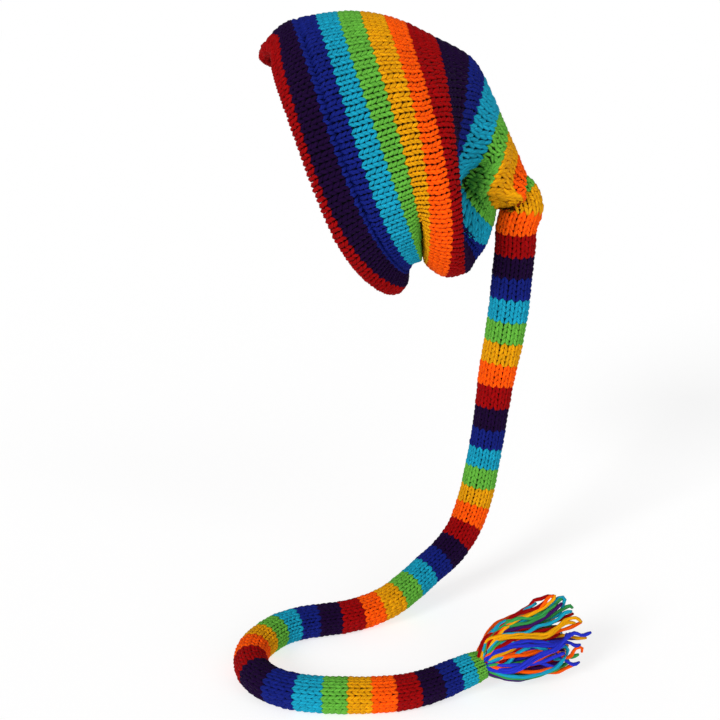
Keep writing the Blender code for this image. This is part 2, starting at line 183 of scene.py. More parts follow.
def knitted_form(stripe, turn):
    """Points on the outside of hem and crown. A section is an ellipse through its row's top
    and underside, which closes in on the tail's circle towards the mouth. It is moved along
    the hat by bow times a squared sine, by sway times a sine and by the sag as a bell curve.
    Every fold presses it in as a bell curve across the stripes, and the pinch as one round
    the section. Last, the lobes are drawn out as a bell curve round the section."""
    table = columns(SECTION_COLUMNS, SECTIONS)
    at = {name: spline(stripe, table["stripe"], table[name]) for name in SECTION_COLUMNS[1:]}
    top = np.stack([at["top_x"], at["top_z"]], -1) * OPENING_LENGTH
    under = np.stack([at["under_x"], at["under_z"]], -1) * OPENING_LENGTH
    half = (top - under) / 2
    wide = at["half_width"] * OPENING_WIDTH
    closing = ramp((stripe - NARROWING) / (MOUTH - NARROWING))
    last = dict(zip(SECTION_COLUMNS, SECTIONS[-1]))
    mouth_half = np.hypot(last["top_x"] - last["under_x"], last["top_z"] - last["under_z"])
    mouth_half *= OPENING_LENGTH / 2
    mouth_wide = last["half_width"] * OPENING_WIDTH
    half = half * (1 + (TAIL_RADIUS / mouth_half - 1) * closing)[..., None]
    wide = wide * (1 + (TAIL_RADIUS / mouth_wide - 1) * closing)
    along = unit(np.stack([half[..., 1], -half[..., 0]], -1))
    side = side_of(turn)
    peak = side ** (np.log(0.5) / np.log(at["bow_at"]))
    shift = at["bow"] * np.sin(np.pi * peak) ** 2 + at["sway"] * np.sin(2 * np.pi * side)
    sag = np.where(turn % 1.0 > 0.5, SAG_FAR, SAG_NEAR)
    sag = sag * ramp((SAG_END - stripe) / (SAG_END - FOLD_OUT))
    reach = np.where(side > SAG_AT, SAG_REACH, SAG_SPREAD)
    shift -= sag * np.exp(-(((side - SAG_AT) / reach) ** 2))
    lobe = columns(LOBE_COLUMNS, LOBE)
    lobe = {n: np.interp(stripe, lobe["stripe"], lobe[n]) for n in LOBE_COLUMNS}
    drawn = np.stack([lobe[n] for n in ("along", "sideways", "up")], -1)
    drawn = drawn * np.exp(-(((side - lobe["at"]) / lobe["spread"]) ** 2))[..., None]
    drawn[..., 1] *= -np.sign(np.sin(2 * np.pi * turn))
    inward = np.zeros_like(side)
    for row in FOLDS:
        fold = dict(zip(FOLD_COLUMNS, row))
        way = np.clip((side - fold["from_side"]) / (fold["to_side"] - fold["from_side"]), 0, 1)
        middle = fold["from_stripe"] + (fold["to_stripe"] - fold["from_stripe"]) * way
        bell = np.exp(-(((stripe - middle) / fold["spread"]) ** 2))
        fading = ramp((fold["end_side"] - side) / FOLD_FADE)
        inward += fold["depth"] * ramp(way) * fading * bell
    pinched = ramp((stripe - PINCH_FROM) / PINCH_EASE) * ramp((PINCH_TO - stripe) / PINCH_EASE)
    inward += PINCH_DEPTH * pinched * np.exp(-(((side - PINCH) / PINCH_SPREAD) ** 2))
    mean_radius = (OPENING_LENGTH + OPENING_WIDTH) / 4
    keep = 1 - inward * OPENING_LENGTH / mean_radius
    angle = 2 * np.pi * turn
    flat = (top + under) / 2 + half * (np.cos(angle) * keep)[..., None]
    flat = flat + along * (shift * OPENING_LENGTH)[..., None]
    return np.stack([flat[..., 0], -wide * np.sin(angle) * keep, flat[..., 1]], -1) + drawn


FINE_TURNS = 1080  # points on a fine ring
AROUND = 540  # points on a ring of the cloth


def even_rings(stripes):
    """A ring of the knitted form for each stripe, its points the same length of cloth
    apart: a fine ring's length is summed and read back at equal shares."""
    fine = np.linspace(0, 1, FINE_TURNS + 1)
    rings = knitted_form(*np.meshgrid(stripes, fine, indexing="ij"))
    way = np.cumsum(np.linalg.norm(np.diff(rings, axis=1), axis=2), axis=1)
    way = np.concatenate([np.zeros((len(way), 1)), way], axis=1) / way[:, -1:]
    share = np.arange(AROUND) / AROUND
    turns = np.stack([np.interp(share, w, fine) for w in way])
    return knitted_form(np.broadcast_to(np.asarray(stripes)[:, None], turns.shape), turns)


def facing_out(rings):
    """The outward direction at each grid point, square to the ring and to the rows."""
    around = np.roll(rings, -1, axis=1) - np.roll(rings, 1, axis=1)
    return unit(np.cross(around, np.gradient(rings, axis=0)))


# Courses are the rows of stitches and wales the columns, which run square to them
SQUARE_FROM = 4.0  # wales are evenly spaced on this stripe
EVEN_FROM = 12.5  # and from this stripe on they are only drawn back to even spacing
HELD_TOP = 0.24  # where the rim sags, wales keep their places up to this side
EVENING = 0.01  # the share of their unevenness that goes at each grid row
EVENING_MIDLINE = 0.06  # and how much more goes along the top and the underside
EVENING_KINK = 0.22  # and in the kink
KINK_STARTS = 11.0  # in stripes
KINK_GROWS = 1.5
# The crown turns up on the wearer's left: by which share of the way round, for some stripes
TWIST = (
    (6.5, 0.0), (8, 0.018), (9, 0.042), (10, 0.065), (10.5, 0.080), (11, 0.115),
    (11.5, 0.150), (12, 0.185), (12.5, 0.215), (13, 0.240), (14, 0.270))
TWIST_MOST = 0.12  # and where round the crown it turns most
TWIST_VARIES = 0.25  # opposite, it turns by twice this share less


def square_wales(rings, stripes):
    """The same rings with their points carried from ring to ring square to the courses, as
    wales run: each step slides a point back along the next ring by its step's part along
    that ring, draws it a little towards even spacing, and turns it by the crown's twist. On
    the sagging rim it isn't slid near the top."""
    around = rings.shape[1]
    even = np.arange(around) / around
    pull = EVENING + EVENING_MIDLINE * np.abs(np.cos(2 * np.pi * even)) ** 12
    free = 1 - np.exp(-((side_of(even) / HELD_TOP) ** 4))
    uneven = 1 - TWIST_VARIES + TWIST_VARIES * np.cos(2 * np.pi * (even - TWIST_MOST))

    def read(ring, share):
        c = (share % 1.0) * around
        j = np.minimum(c.astype(int), around - 1)
        b = (c - j)[:, None]
        return ring[j] * (1 - b) + ring[(j + 1) % around] * b

    start = int(np.argmin(np.abs(stripes - SQUARE_FROM)))
    squared = np.array(rings)
    for step, order in ((1, range(start, len(rings) - 1)), (-1, range(start, 0, -1))):
        share = even
        for i in order:
            here, ahead = read(rings[i], share), rings[i + step]
            slope = (np.roll(ahead, -1, axis=0) - np.roll(ahead, 1, axis=0)) * around / 2
            moves = free if stripes[i] < SAG_END else 1.0
            for _ in range(2 if stripes[i] < EVEN_FROM else 0):
                run = read(slope, share)
                gap = np.sum((read(ahead, share) - here) * run, axis=1)
                share = share - moves * gap / np.sum(run * run, axis=1)
            in_kink = ramp((stripes[i] - KINK_STARTS) / KINK_GROWS)
            share = share + (pull + EVENING_KINK * in_kink) * (even - share)
            twist = np.interp(stripes[i + step], *np.array(TWIST).T)
            squared[i + step] = read(ahead, share - twist * uneven)
    return squared


COURSE = 0.25  # one row of stitches, in stripes
ROW_STEP = 0.05  # between two rows of a cloth's grid, in stripes


def cloth_of(rings, first):
    """A cloth to knit on: points and outward directions, with the first ring point again
    at the end of each ring, and the stripe of the first ring."""
    both = np.concatenate([rings, facing_out(rings)], axis=2)
    return {"grid": np.concatenate([both, both[:, :1]], axis=1), "first": first}


def on_cloth(cloth, stripe, share):
    """The point and outward direction at a stripe and a share of the way round: the four
    grid points about it, weighted by how near they are."""
    grid = cloth["grid"]
    r = np.clip((stripe - cloth["first"]) / ROW_STEP, 0, grid.shape[0] - 1.001)
    c = (share % 1.0) * (grid.shape[1] - 1)
    i, j = r.astype(int), np.minimum(c.astype(int), grid.shape[1] - 2)
    a, b = (r - i)[..., None], (c - j)[..., None]
    mixed = (1 - a) * ((1 - b) * grid[i, j] + b * grid[i, j + 1])
    mixed = mixed + a * ((1 - b) * grid[i + 1, j] + b * grid[i + 1, j + 1])
    return mixed[..., :3], unit(mixed[..., 3:])


FOLD_IN = -0.25  # the stripe where the turned-in facing ends and the rounded fold starts
FACING_ROWS = 26  # grid rows in the facing, counted from the fold
FACING_EVEN = 0.7  # over this share of them it lies two layers deep
FACING_NEARER = 0.10  # and over the rest it comes nearer by this share
SEAM = 2.25  # the stripe of the stitched crease
SEAM_DEPTH = 0.0046
SEAM_WIDTH = 0.085  # in stripes
SEAM_EASE = 0.24  # the crease is shallower at the top, up to this side
SEAM_AT_TOP = 0.25  # by this share of its depth


def hat_cloth():
    """The cloth from the facing's sewn edge, out round the rim in a half circle of one
    fabric's radius, and over hem and crown to the mouth. The crease is a bell curve across
    the stripes, pressed in along the outward direction."""
    stripes = np.arange(FOLD_OUT, MOUTH + ROW_STEP / 2, ROW_STEP)
    outside = square_wales(even_rings(stripes), stripes)
    out = facing_out(outside)
    crease = np.exp(-(((stripes - SEAM) / SEAM_WIDTH) ** 2))[:, None, None]
    below_top = ramp(side_of(np.arange(AROUND)[:, None] / AROUND) / SEAM_EASE)
    eased = SEAM_AT_TOP + (1 - SEAM_AT_TOP) * below_top
    outside = outside - out * crease * SEAM_DEPTH * eased
    steps = int(round((FOLD_OUT - FOLD_IN) / ROW_STEP))
    phi = np.pi * np.arange(steps, 0, -1)[:, None, None] / steps
    rimward = unit(outside[0] - outside[1])
    fold = outside[0] - out[0] * FABRIC
    fold = fold + FABRIC * (out[0] * np.cos(phi) + rimward * np.sin(phi))
    k = np.arange(FACING_ROWS, 0, -1)
    sewn = ramp((k / FACING_ROWS - FACING_EVEN) / (1 - FACING_EVEN))
    depth = 2 * FABRIC * (1 - FACING_NEARER * sewn)
    facing = outside[k] - out[k] * depth[:, None, None]
    first = FOLD_IN - FACING_ROWS * ROW_STEP
    return cloth_of(np.concatenate([facing, fold, outside]), first)


SECTORS = 7  # the crown narrows along this many lines
FIRST_SECTOR = 0.04  # share of the way round where the first sector starts
# Stitches in one sector of the courses at some stripes
WALES = ((7, 11), (8, 10), (9, 8.8), (10, 7.9), (11, 6.7), (12, 5.2), (13, 3.6), (14, 2))
HEM_WALES = SECTORS * WALES[0][1]
CLOSING_UP = 4  # how strongly a stitch's loss moves the last stitches more than the first
LEG_REACH = 1.45  # length of a leg, in courses


def wales_at(stripe):
    """Stitches in one sector of a course, with a fraction where some are being lost."""
    knots = columns(("stripe", "count"), WALES)
    return np.interp(stripe, knots["stripe"], knots["count"])


def course_places(stripe):
    """For each stitch of one course, the share of the way round of its wide end and of its
    point, and its width. The last stitches of a sector close up where one is lost, by the
    way through the sector to the power of CLOSING_UP."""
    reach = LEG_REACH * COURSE / 2
    count = int(round(float(wales_at(stripe))))
    k = np.arange(count) + 0.5

    def place(n):
        within = (k + (n - count) * (k / count) ** CLOSING_UP) / n
        return ((np.arange(SECTORS)[:, None] + within) / SECTORS + FIRST_SECTOR).ravel()

    width = np.full(SECTORS * count, 1 / (SECTORS * wales_at(stripe)))
    return place(wales_at(stripe - reach)), place(wales_at(stripe + reach)), width


def tube_faces(tubes, rings, sides):
    """Quads round each tube and a flat cap at its ends, for points in the order tube,
    ring, side."""
    first = (np.arange(tubes) * rings * sides)[:, None, None]
    here = first + (np.arange(rings - 1) * sides)[None, :, None]
    ahead = here + sides
    j = np.arange(sides)[None, None, :]
    k = (j + 1) % sides
    quads = np.stack([here + j, here + k, ahead + k, ahead + j], -1)
    start = first[:, :, 0] + np.arange(sides)[::-1]
    end = first[:, :, 0] + (rings - 1) * sides + np.arange(sides)
    return quads.reshape(-1, 4), np.concatenate([start, end])


def new_piece(name, points, faces, uvs, material, node):
    """A piece from points, arrays of faces and the map of every face corner. It rides on
    the hat's one body and stands for the node."""
    mesh = bpy.data.meshes.new(name)
    corners = np.concatenate([f.ravel() for f in faces])
    sizes = np.concatenate([np.full(len(f), f.shape[1]) for f in faces])
    mesh.vertices.add(len(points))
    mesh.vertices.foreach_set("co", points.ravel())
    mesh.loops.add(len(corners))
    mesh.loops.foreach_set("vertex_index", corners)
    mesh.polygons.add(len(sizes))
    mesh.polygons.foreach_set("loop_start", np.concatenate([[0], np.cumsum(sizes)[:-1]]))
    mesh.update(calc_edges=True)
    layer = mesh.uv_layers.new(name="OFBake")
    layer.data.foreach_set("uv", np.concatenate([u.reshape(-1, 2) for u in uvs]).ravel())
    mesh.validate()
    mesh.shade_smooth()
    mesh.materials.append(material)
    piece = bpy.data.objects.new(name, mesh)
    bpy.context.scene.collection.objects.link(piece)
    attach(piece, "root")
    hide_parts(node)
    return piece


TILES = 4  # the yarn's map holds this many tiles each way, each with its own tint
TILE_EDGE = 0.04  # a tile's share that is left free at each edge
TILE_USED = 0.92  # and the rest, between the edges
CAPS_AT = (0.02, 0.98)  # where the caps of a tube's start and end lie along its tile


def on_tile(tile, along, round_it):
    """Map places inside each tile: the tile's corner plus a share of its side, kept off
    its edges."""
    tile, along, round_it = np.broadcast_arrays(tile, along, round_it)
    u = (tile % TILES + TILE_EDGE + TILE_USED * along) / TILES
    v = (tile // TILES + TILE_EDGE + TILE_USED * round_it) / TILES
    return np.stack([u, v], -1)


def tube_map(tile, place, sides):
    """The map of tube_faces: each tube on its own tile, where place holds how far along it
    each segment starts and ends, and once round the tile's other side."""
    tile = np.reshape(tile, (-1, 1))
    turn = np.arange(sides) / sides
    caps = [on_tile(tile, CAPS_AT[0], turn[::-1]), on_tile(tile, CAPS_AT[1], turn)]
    corner_turn = (np.arange(sides)[:, None] + np.array([0, 1, 1, 0])) / sides
    quads = on_tile(tile[..., None, None], place[:, None, [0, 0, 1, 1]], corner_turn)
    return [quads.reshape(-1, 2), np.concatenate(caps).reshape(-1, 2)]


def circles(angle, first, second):
    """A unit circle for each pair of directions: a cosine along the first plus a sine
    along the second."""
    cosine, sine = np.cos(angle)[:, None], np.sin(angle)[:, None]
    return cosine * first[..., None, :] + sine * second[..., None, :]


YARN_RADIUS = 0.00132
STITCH_WIDTH = 0.0068  # of a stitch that nothing squeezes
STITCH_LENGTH = 0.0039
LEAST_COURSE = 0.0014  # a stitch squeezed under this length is hidden in a fold, so left out
LEG_SIDES = 6
LEG_WAY = np.array([0.0, 0.17, 0.5, 0.83, 1.0])
LEG_GIRTH = np.array([0.35, 0.88, 1.06, 0.95, 0.42])
LEG_RISE = np.array([-1.75, -1.28, -0.80, -0.92, -1.45])  # of the middle, in yarn radii
LEG_APART = 0.40  # a leg's wide end off the stitch's middle, in stitch widths
LEG_MEET = 0.10  # and its other end
LEG_BEND = 1.3  # the power of the way between them
# How uneven the knitting is: sideways in stitch widths, along in courses, in the yarn's
# thickness, and up in metres
LEG_LOOSE = np.array([0.02, 0.04, 0.04, 0.00012])


def squeezed(size, full, follows, least):
    """How thin the yarn shows in a squeezed stitch: it follows the stitch's size by a share,
    and no further than least and a tenth more."""
    return np.clip(1 - follows + follows * size / full, least, 1.1)


def knit(name, cloth, stripe, wide, tip, width, yarn, node, seed):
    """Both legs of every stitch. A leg is a fat tube that runs from its wide end towards
    its point, LEG_APART down to LEG_MEET stitch widths off the middle by the way to the
    power LEG_BEND. It lies lowest at its ends, where the real yarn dives behind its
    neighbour."""
    rng = np.random.default_rng(seed)
    back, _ = on_cloth(cloth, stripe - COURSE / 2, wide)
    ahead, _ = on_cloth(cloth, stripe + COURSE / 2, wide)
    along = np.linalg.norm(ahead - back, axis=1)
    kept = along > LEAST_COURSE
    stripe, wide, tip, width, along = (
        np.repeat(a[kept], 2)[:, None] for a in (stripe, wide, tip, width, along))
    side = np.where(np.arange(len(stripe)) % 2, 1.0, -1.0)[:, None]
    s = LEG_WAY[None, :]
    loose = rng.normal(0, 1, (4, len(stripe), 1)) * LEG_LOOSE[:, None, None]
    off = side * (LEG_APART - (LEG_APART - LEG_MEET) * s**LEG_BEND) + loose[0]
    at = stripe + COURSE * (LEG_REACH * (s - 0.5) + loose[1])
    share = wide + (tip - wide) * s + width * off
    points, out = on_cloth(cloth, at, share)
    left, _ = on_cloth(cloth, stripe, wide - width / 2)
    right, _ = on_cloth(cloth, stripe, wide + width / 2)
    across = np.linalg.norm(right - left, axis=2)
    thick = YARN_RADIUS * squeezed(across, STITCH_WIDTH, follows=0.6, least=0.72)
    thick = thick * squeezed(along, STITCH_LENGTH, follows=0.55, least=0.62)
    thick = thick * (1 + loose[2])
    middle = points + out * (thick * LEG_RISE + loose[3])[..., None]
    run = unit(np.gradient(middle, axis=1))
    sidewise = unit(np.cross(out, run))
    up = np.cross(run, sidewise)
    angle = 2 * np.pi * np.arange(LEG_SIDES) / LEG_SIDES - np.pi / 2
    girth = (thick * LEG_GIRTH)[..., None, None]
    rings = middle[:, :, None] + girth * circles(angle, sidewise, up)
    faces = tube_faces(len(stripe), len(LEG_WAY), LEG_SIDES)
    tile = rng.integers(0, TILES * TILES, len(stripe))
    place = np.stack([LEG_WAY[:-1], LEG_WAY[1:]], -1)
    uvs = tube_map(tile, place, LEG_SIDES)
    return new_piece(name, rings.reshape(-1, 3), faces, uvs, yarn, node)


def add_node(tree, kind, inputs=(), **settings):
    """A node with its settings, its inputs given as numbers or as other nodes' outputs."""
    node = tree.nodes.new(kind)
    for key, value in settings.items():
        setattr(node, key, value)
    for where, value in dict(inputs).items():
        if isinstance(value, bpy.types.NodeSocket):
            tree.links.new(value, node.inputs[where])
        else:
            node.inputs[where].default_value = value
    return node


def maths(tree, operation, *values):
    """The output of a Math node."""
    return add_node(tree, "ShaderNodeMath", enumerate(values), operation=operation).outputs[0]


def new_finish(name, shader):
    """A material, with values for sockets of its shader."""
    material = bpy.data.materials.new(name)
    material.use_nodes = True
    for socket, value in shader.items():
        material.node_tree.nodes["Principled BSDF"].inputs[socket].default_value = value
    return material


def join_finish(tree, colour, light, rough, height, strength, distance):
    """Joins a finish to its shader: the colour times its light, and the roughness and the
    height of its bumps."""
    grey = add_node(tree, "ShaderNodeCombineColor", {0: light, 1: light, 2: light}).outputs[0]
    paint = add_node(tree, "ShaderNodeMix", {0: 1.0, 6: colour, 7: grey},
                     data_type="RGBA", blend_type="MULTIPLY")
    bump = add_node(tree, "ShaderNodeBump",
                    {"Strength": strength, "Distance": distance, "Height": height})
    shader = tree.nodes["Principled BSDF"].inputs
    tree.links.new(paint.outputs[2], shader["Base Color"])
    tree.links.new(rough, shader["Roughness"])
    tree.links.new(bump.outputs[0], shader["Normal"])


# The yarns in the order they are knitted from the rim, a stripe of each
YARNS = (
    ("red", (0.31, 0.001, 0.002)),
    ("purple", (0.0105, 0.001, 0.027)),
    ("navy", (0.006, 0.013, 0.175)),
    ("cyan", (0.008, 0.32, 0.48)),
    ("green", (0.120, 0.42, 0.045)),
    ("yellow", (0.74, 0.325, 0.002)),
    ("orange", (0.95, 0.100, 0.001)),
)
PLIES = 3
PLY_TURNS = 2  # along a tile
FIBRE_SCALE = (9.0, 3.0, 40.0)  # of the noise: across the plies, along them, tile to tile
# The ply's share lightens the ridges of the plies and leaves their grooves darker: painted shade
YARN_DARKEST = 0.44  # the share of its colour that a yarn always has
PLY_PAINTED_SHADE = 0.20  # and the shares that the ridges of plies,
FIBRE_LIGHT = 0.50  # the fibres
TINT_LIGHT = 0.24  # and the tile's own tint add


def yarn_finish(name, colour):
    """Three-ply yarn: ply height is a sine of PLIES turns round and PLY_TURNS along the tile,
    and a stretched noise lies along it as fibres. The ply's ridges make the colour lighter and
    its grooves darker, as painted shade; fibre and the tile's own tint make it lighter by random
    tone, and a soft sheen stands for the fuzz."""
    material = new_finish("yarn_" + name, {
        "Sheen Weight": 0.02, "Sheen Roughness": 0.4, "Specular IOR Level": 0.06})
    tree = material.node_tree
    chart = add_node(tree, "ShaderNodeUVMap", uv_map="OFBake").outputs[0]
    vector = "ShaderNodeVectorMath"
    grid = {0: chart, 1: (TILES, TILES, 1)}
    big = add_node(tree, vector, grid, operation="MULTIPLY").outputs[0]
    tile = add_node(tree, vector, {0: big}, operation="FLOOR").outputs[0]
    inside = add_node(tree, vector, {0: big, 1: tile}, operation="SUBTRACT").outputs[0]
    parts = add_node(tree, "ShaderNodeSeparateXYZ", {0: inside})
    u, v = parts.outputs[0], parts.outputs[1]
    tint = add_node(tree, "ShaderNodeTexWhiteNoise", {0: tile}, noise_dimensions="3D").outputs[0]
    lay = maths(tree, "MULTIPLY", u, PLY_TURNS / TILE_USED)
    lay = maths(tree, "MULTIPLY_ADD", v, PLIES / TILE_USED, lay)
    ply = maths(tree, "SINE", maths(tree, "MULTIPLY", lay, 2 * np.pi))
    ply = maths(tree, "MULTIPLY_ADD", ply, 0.5, 0.5)
    strand = [maths(tree, "MULTIPLY", *pair) for pair in zip((lay, u, tint), FIBRE_SCALE)]
    strand = add_node(tree, "ShaderNodeCombineXYZ", enumerate(strand)).outputs[0]
    noise = {0: strand, "Scale": 1.0, "Detail": 3.0}
    fibre = add_node(tree, "ShaderNodeTexNoise", noise).outputs[0]
    # The colour's lightness: darker in the ply's grooves as painted shade, and varied at random
    # by fibre and tile tint
    light = YARN_DARKEST
    for part, share in ((ply, PLY_PAINTED_SHADE), (fibre, FIBRE_LIGHT), (tint, TINT_LIGHT)):
        light = maths(tree, "MULTIPLY_ADD", part, share, light)
    rough = maths(tree, "MULTIPLY_ADD", fibre, 0.16, 0.78)
    height = maths(tree, "MULTIPLY_ADD", ply, 0.5, maths(tree, "MULTIPLY", fibre, 0.6))
    join_finish(tree, (*colour, 1), light, rough, height, strength=0.5, distance=0.0004)
    return material


MAP_HALF = 0.48  # width of each half of a backing's map
MAP_OUTER = 0.01  # where the half under the stitches starts
MAP_INNER = 0.51  # and the half of the reverse
PURL_WAVE = 0.22  # how far a purl ridge waves, in courses
# Under the stitches the backing keeps only a small share of its yarn's colour, as painted shade
# of the gaps between stitches
UNDER_PAINTED_SHADE = 0.09  # the share of the yarn's colour that shows under the stitches
REVERSE_LIGHT = 0.60  # and how much more of it on the reverse


def backing_finish(name, first, last, wales):
    """The reverse of the knitting: the yarn of each stripe by its place along the map, darkened
    as painted shade on the outer half of the map, which lies under the stitches. On the other
    half one ridge a course, a cosine, waves once a stitch by a sine, as purl loops do; the
    ridges lighten the colour and the troughs between them darken it, as painted shade."""
    material = new_finish(name, {"Specular IOR Level": 0.10})
    tree = material.node_tree
    chart = add_node(tree, "ShaderNodeUVMap", uv_map="OFBake").outputs[0]
    parts = add_node(tree, "ShaderNodeSeparateXYZ", {0: chart})
    u, v = parts.outputs[0], parts.outputs[1]
    wale = maths(tree, "MULTIPLY", u, 2 * np.pi * wales / MAP_HALF)
    wave = maths(tree, "MULTIPLY", maths(tree, "SINE", wale), PURL_WAVE)
    stripe = maths(tree, "MULTIPLY_ADD", v, last - first, first)
    course = maths(tree, "ADD", maths(tree, "DIVIDE", stripe, COURSE), wave)
    ridge = maths(tree, "COSINE", maths(tree, "MULTIPLY", course, 2 * np.pi))
    ridge = maths(tree, "MULTIPLY_ADD", ridge, 0.5, 0.5)
    stripe = maths(tree, "MAXIMUM", maths(tree, "MULTIPLY", course, COURSE), 0.01)
    week = maths(tree, "FRACT", maths(tree, "DIVIDE", stripe, len(YARNS)))
    bands = add_node(tree, "ShaderNodeValToRGB", {0: week})
    bands.color_ramp.interpolation = "CONSTANT"
    stops = bands.color_ramp.elements
    stops[1].position = 1 / len(YARNS)
    for i in range(2, len(YARNS)):
        stops.new(i / len(YARNS))
    for stop, (_, colour) in zip(stops, YARNS):
        stop.color = (*colour, 1)
    inner = maths(tree, "GREATER_THAN", u, 0.5)
    noise = {0: chart, "Scale": 260.0, "Detail": 3.0}
    grain = add_node(tree, "ShaderNodeTexNoise", noise).outputs[0]
    # Under the stitches the colour falls to a small share, as painted shade; on the reverse it
    # keeps more
    light = maths(tree, "MULTIPLY_ADD", inner, REVERSE_LIGHT, UNDER_PAINTED_SHADE)
    light = maths(tree, "MULTIPLY", light, maths(tree, "MULTIPLY_ADD", grain, 0.8, 0.6))
    # The troughs between purl ridges are darkened as painted shade
    light = maths(tree, "MULTIPLY", light, maths(tree, "MULTIPLY_ADD", ridge, 0.7, 0.5))
    rough = maths(tree, "MULTIPLY_ADD", grain, 0.1, 0.85)
    height = maths(tree, "MULTIPLY_ADD", grain, 0.3, ridge)
    join_finish(tree, bands.outputs[0], light, rough, height, strength=0.8, distance=0.0014)
    return material


UNDER_LEGS = 0.0021  # depth of a backing's outer skin


def backing(name, cloth, stripes, wales, reverse_at, bumps, node):
    """The closed band that carries the stitches: one skin under them, coloured as painted shade
    of the gaps between stitches, one at reverse_at with a small purl bump for every stitch,
    joined at both edges."""
    sides = wales * 2
    at, share = np.meshgrid(stripes, np.arange(sides) / sides, indexing="ij")
    points, out = on_cloth(cloth, at, share)
    even = (np.arange(sides) + np.round(stripes / COURSE).astype(int)[:, None]) % 2
    under = points - out * UNDER_LEGS
    reverse = points - out * (reverse_at - bumps * even)[..., None]
    skin = np.concatenate([under, reverse[::-1]])
    loops = len(skin)
    i, j = np.arange(loops)[:, None], np.arange(sides)[None, :]
    n, k = (i + 1) % loops, (j + 1) % sides
    quads = np.stack([i * sides + j, i * sides + k, n * sides + k, n * sides + j], -1)
    v = (stripes - stripes[0]) / (stripes[-1] - stripes[0])
    v = np.concatenate([v, v[::-1]])[:, None]
    v_first, v_next, _ = np.broadcast_arrays(v, np.roll(v, -1, axis=0), j)
    half = np.where(i < len(stripes) - 1, MAP_OUTER, MAP_INNER)
    u_first = half + MAP_HALF * j / sides
    u_next = half + MAP_HALF * (j + 1) / sides
    uv = np.stack([np.stack([u_first, u_next, u_next, u_first], -1),
                   np.stack([v_first, v_first, v_next, v_next], -1)], -1)
    finish = backing_finish(name, stripes[0], stripes[-1], wales)
    faces = [quads.reshape(-1, 4)]
    return new_piece(name, skin.reshape(-1, 3), faces, [uv], finish, node)


def stripe_colour(stripe):
    """Which yarn the stripe that holds this place is knitted in. The facing is red."""
    return int(max(np.ceil(stripe), 1) - 1) % len(YARNS)


def knit_courses(prefix, cloth, courses, places, node, seed):
    """One piece for each yarn, with its stitches of all the courses."""
    for colour, (yarn_name, _) in enumerate(YARNS):
        mine = [c for c in courses if stripe_colour(c) == colour]
        if not mine:
            continue
        found = [places(c) for c in mine]
        wide, tip, width = (np.concatenate(part) for part in zip(*found))
        stripe = np.concatenate([np.full(len(f[0]), c) for f, c in zip(found, mine)])
        knit(f"{prefix}_{yarn_name}", cloth, stripe, wide, tip, width, yarns[yarn_name],
             node, seed + colour)


COURSE_SHIFT = 0.025  # in stripes, so that a course ends close to the crease

yarns = {name: yarn_finish(name, colour) for name, colour in YARNS}
hat = hat_cloth()
hem_courses = np.arange(hat["first"] + COURSE / 2 + COURSE_SHIFT, SEAM, COURSE)
knit_courses("hem", hat, hem_courses, course_places, "brim_hem", 10)
hem_rows = np.append(np.arange(hat["first"], SEAM - ROW_STEP, 2 * ROW_STEP), SEAM)
backing("hem_backing", hat, hem_rows, HEM_WALES, reverse_at=0.0040, bumps=0.0004,
        node="brim_hem")

# Crown. The hollow, slouching body of the hat, knitted round in the rainbow's seven yarns,
# four courses to a stripe. It narrows along seven lines and kinks where the tail starts.
KINK_FROM = 12.0  # in stripes
FACES_OUT = 0.1  # least cosine between a stitch's outward direction and away from the middle
ROWS_APART_FROM = 9.0  # the stripe from which the backing's rows lie a whole course apart


def crown_places(stripe):
    """The places of a course, without the stitches that the kink turns inside out: those
    whose outward direction points back at the middle of their course."""
    wide, tip, width = course_places(stripe)
    points, out = on_cloth(hat, np.full(len(wide), stripe), wide)
    away = unit(points - points.mean(axis=0))
    shown = (np.sum(away * out, axis=1) > FACES_OUT) | (stripe < KINK_FROM)
    return wide[shown], tip[shown], width[shown]


crown_courses = np.arange(hem_courses[-1] + COURSE, MOUTH, COURSE)
knit_courses("crown", hat, crown_courses, crown_places, "crown", 30)
near_rows = np.arange(SEAM, ROWS_APART_FROM, COURSE / 2)
crown_rows = np.concatenate([near_rows, np.arange(ROWS_APART_FROM, MOUTH, COURSE), [MOUTH]])
backing("crown_backing", hat, crown_rows, HEM_WALES, reverse_at=0.0043, bumps=0.0009,
        node="crown")

# Tail. A tube of fourteen stitches round, knitted on from the crown in the same stripes. It
# hangs to the ground, lies there in a loop, and is gathered at its tip round the tassel.
TAIL_LENGTH = 0.620  # of the route
ELBOW_SLACK = 0.0012  # the tube turns round a point this far outside its wall
ELBOW_POINTS = 60
CLEARANCE = 0.0003  # between the crown's mouth and the elbow
LEAD = 0.0025  # the tube's line starts this far inside the crown, so that no gap shows there
TIP_LENGTH = 0.010
TIP_POINTS = 20
TIP_GATHERED = 0.86  # the tip's end, as a share of the radius before it
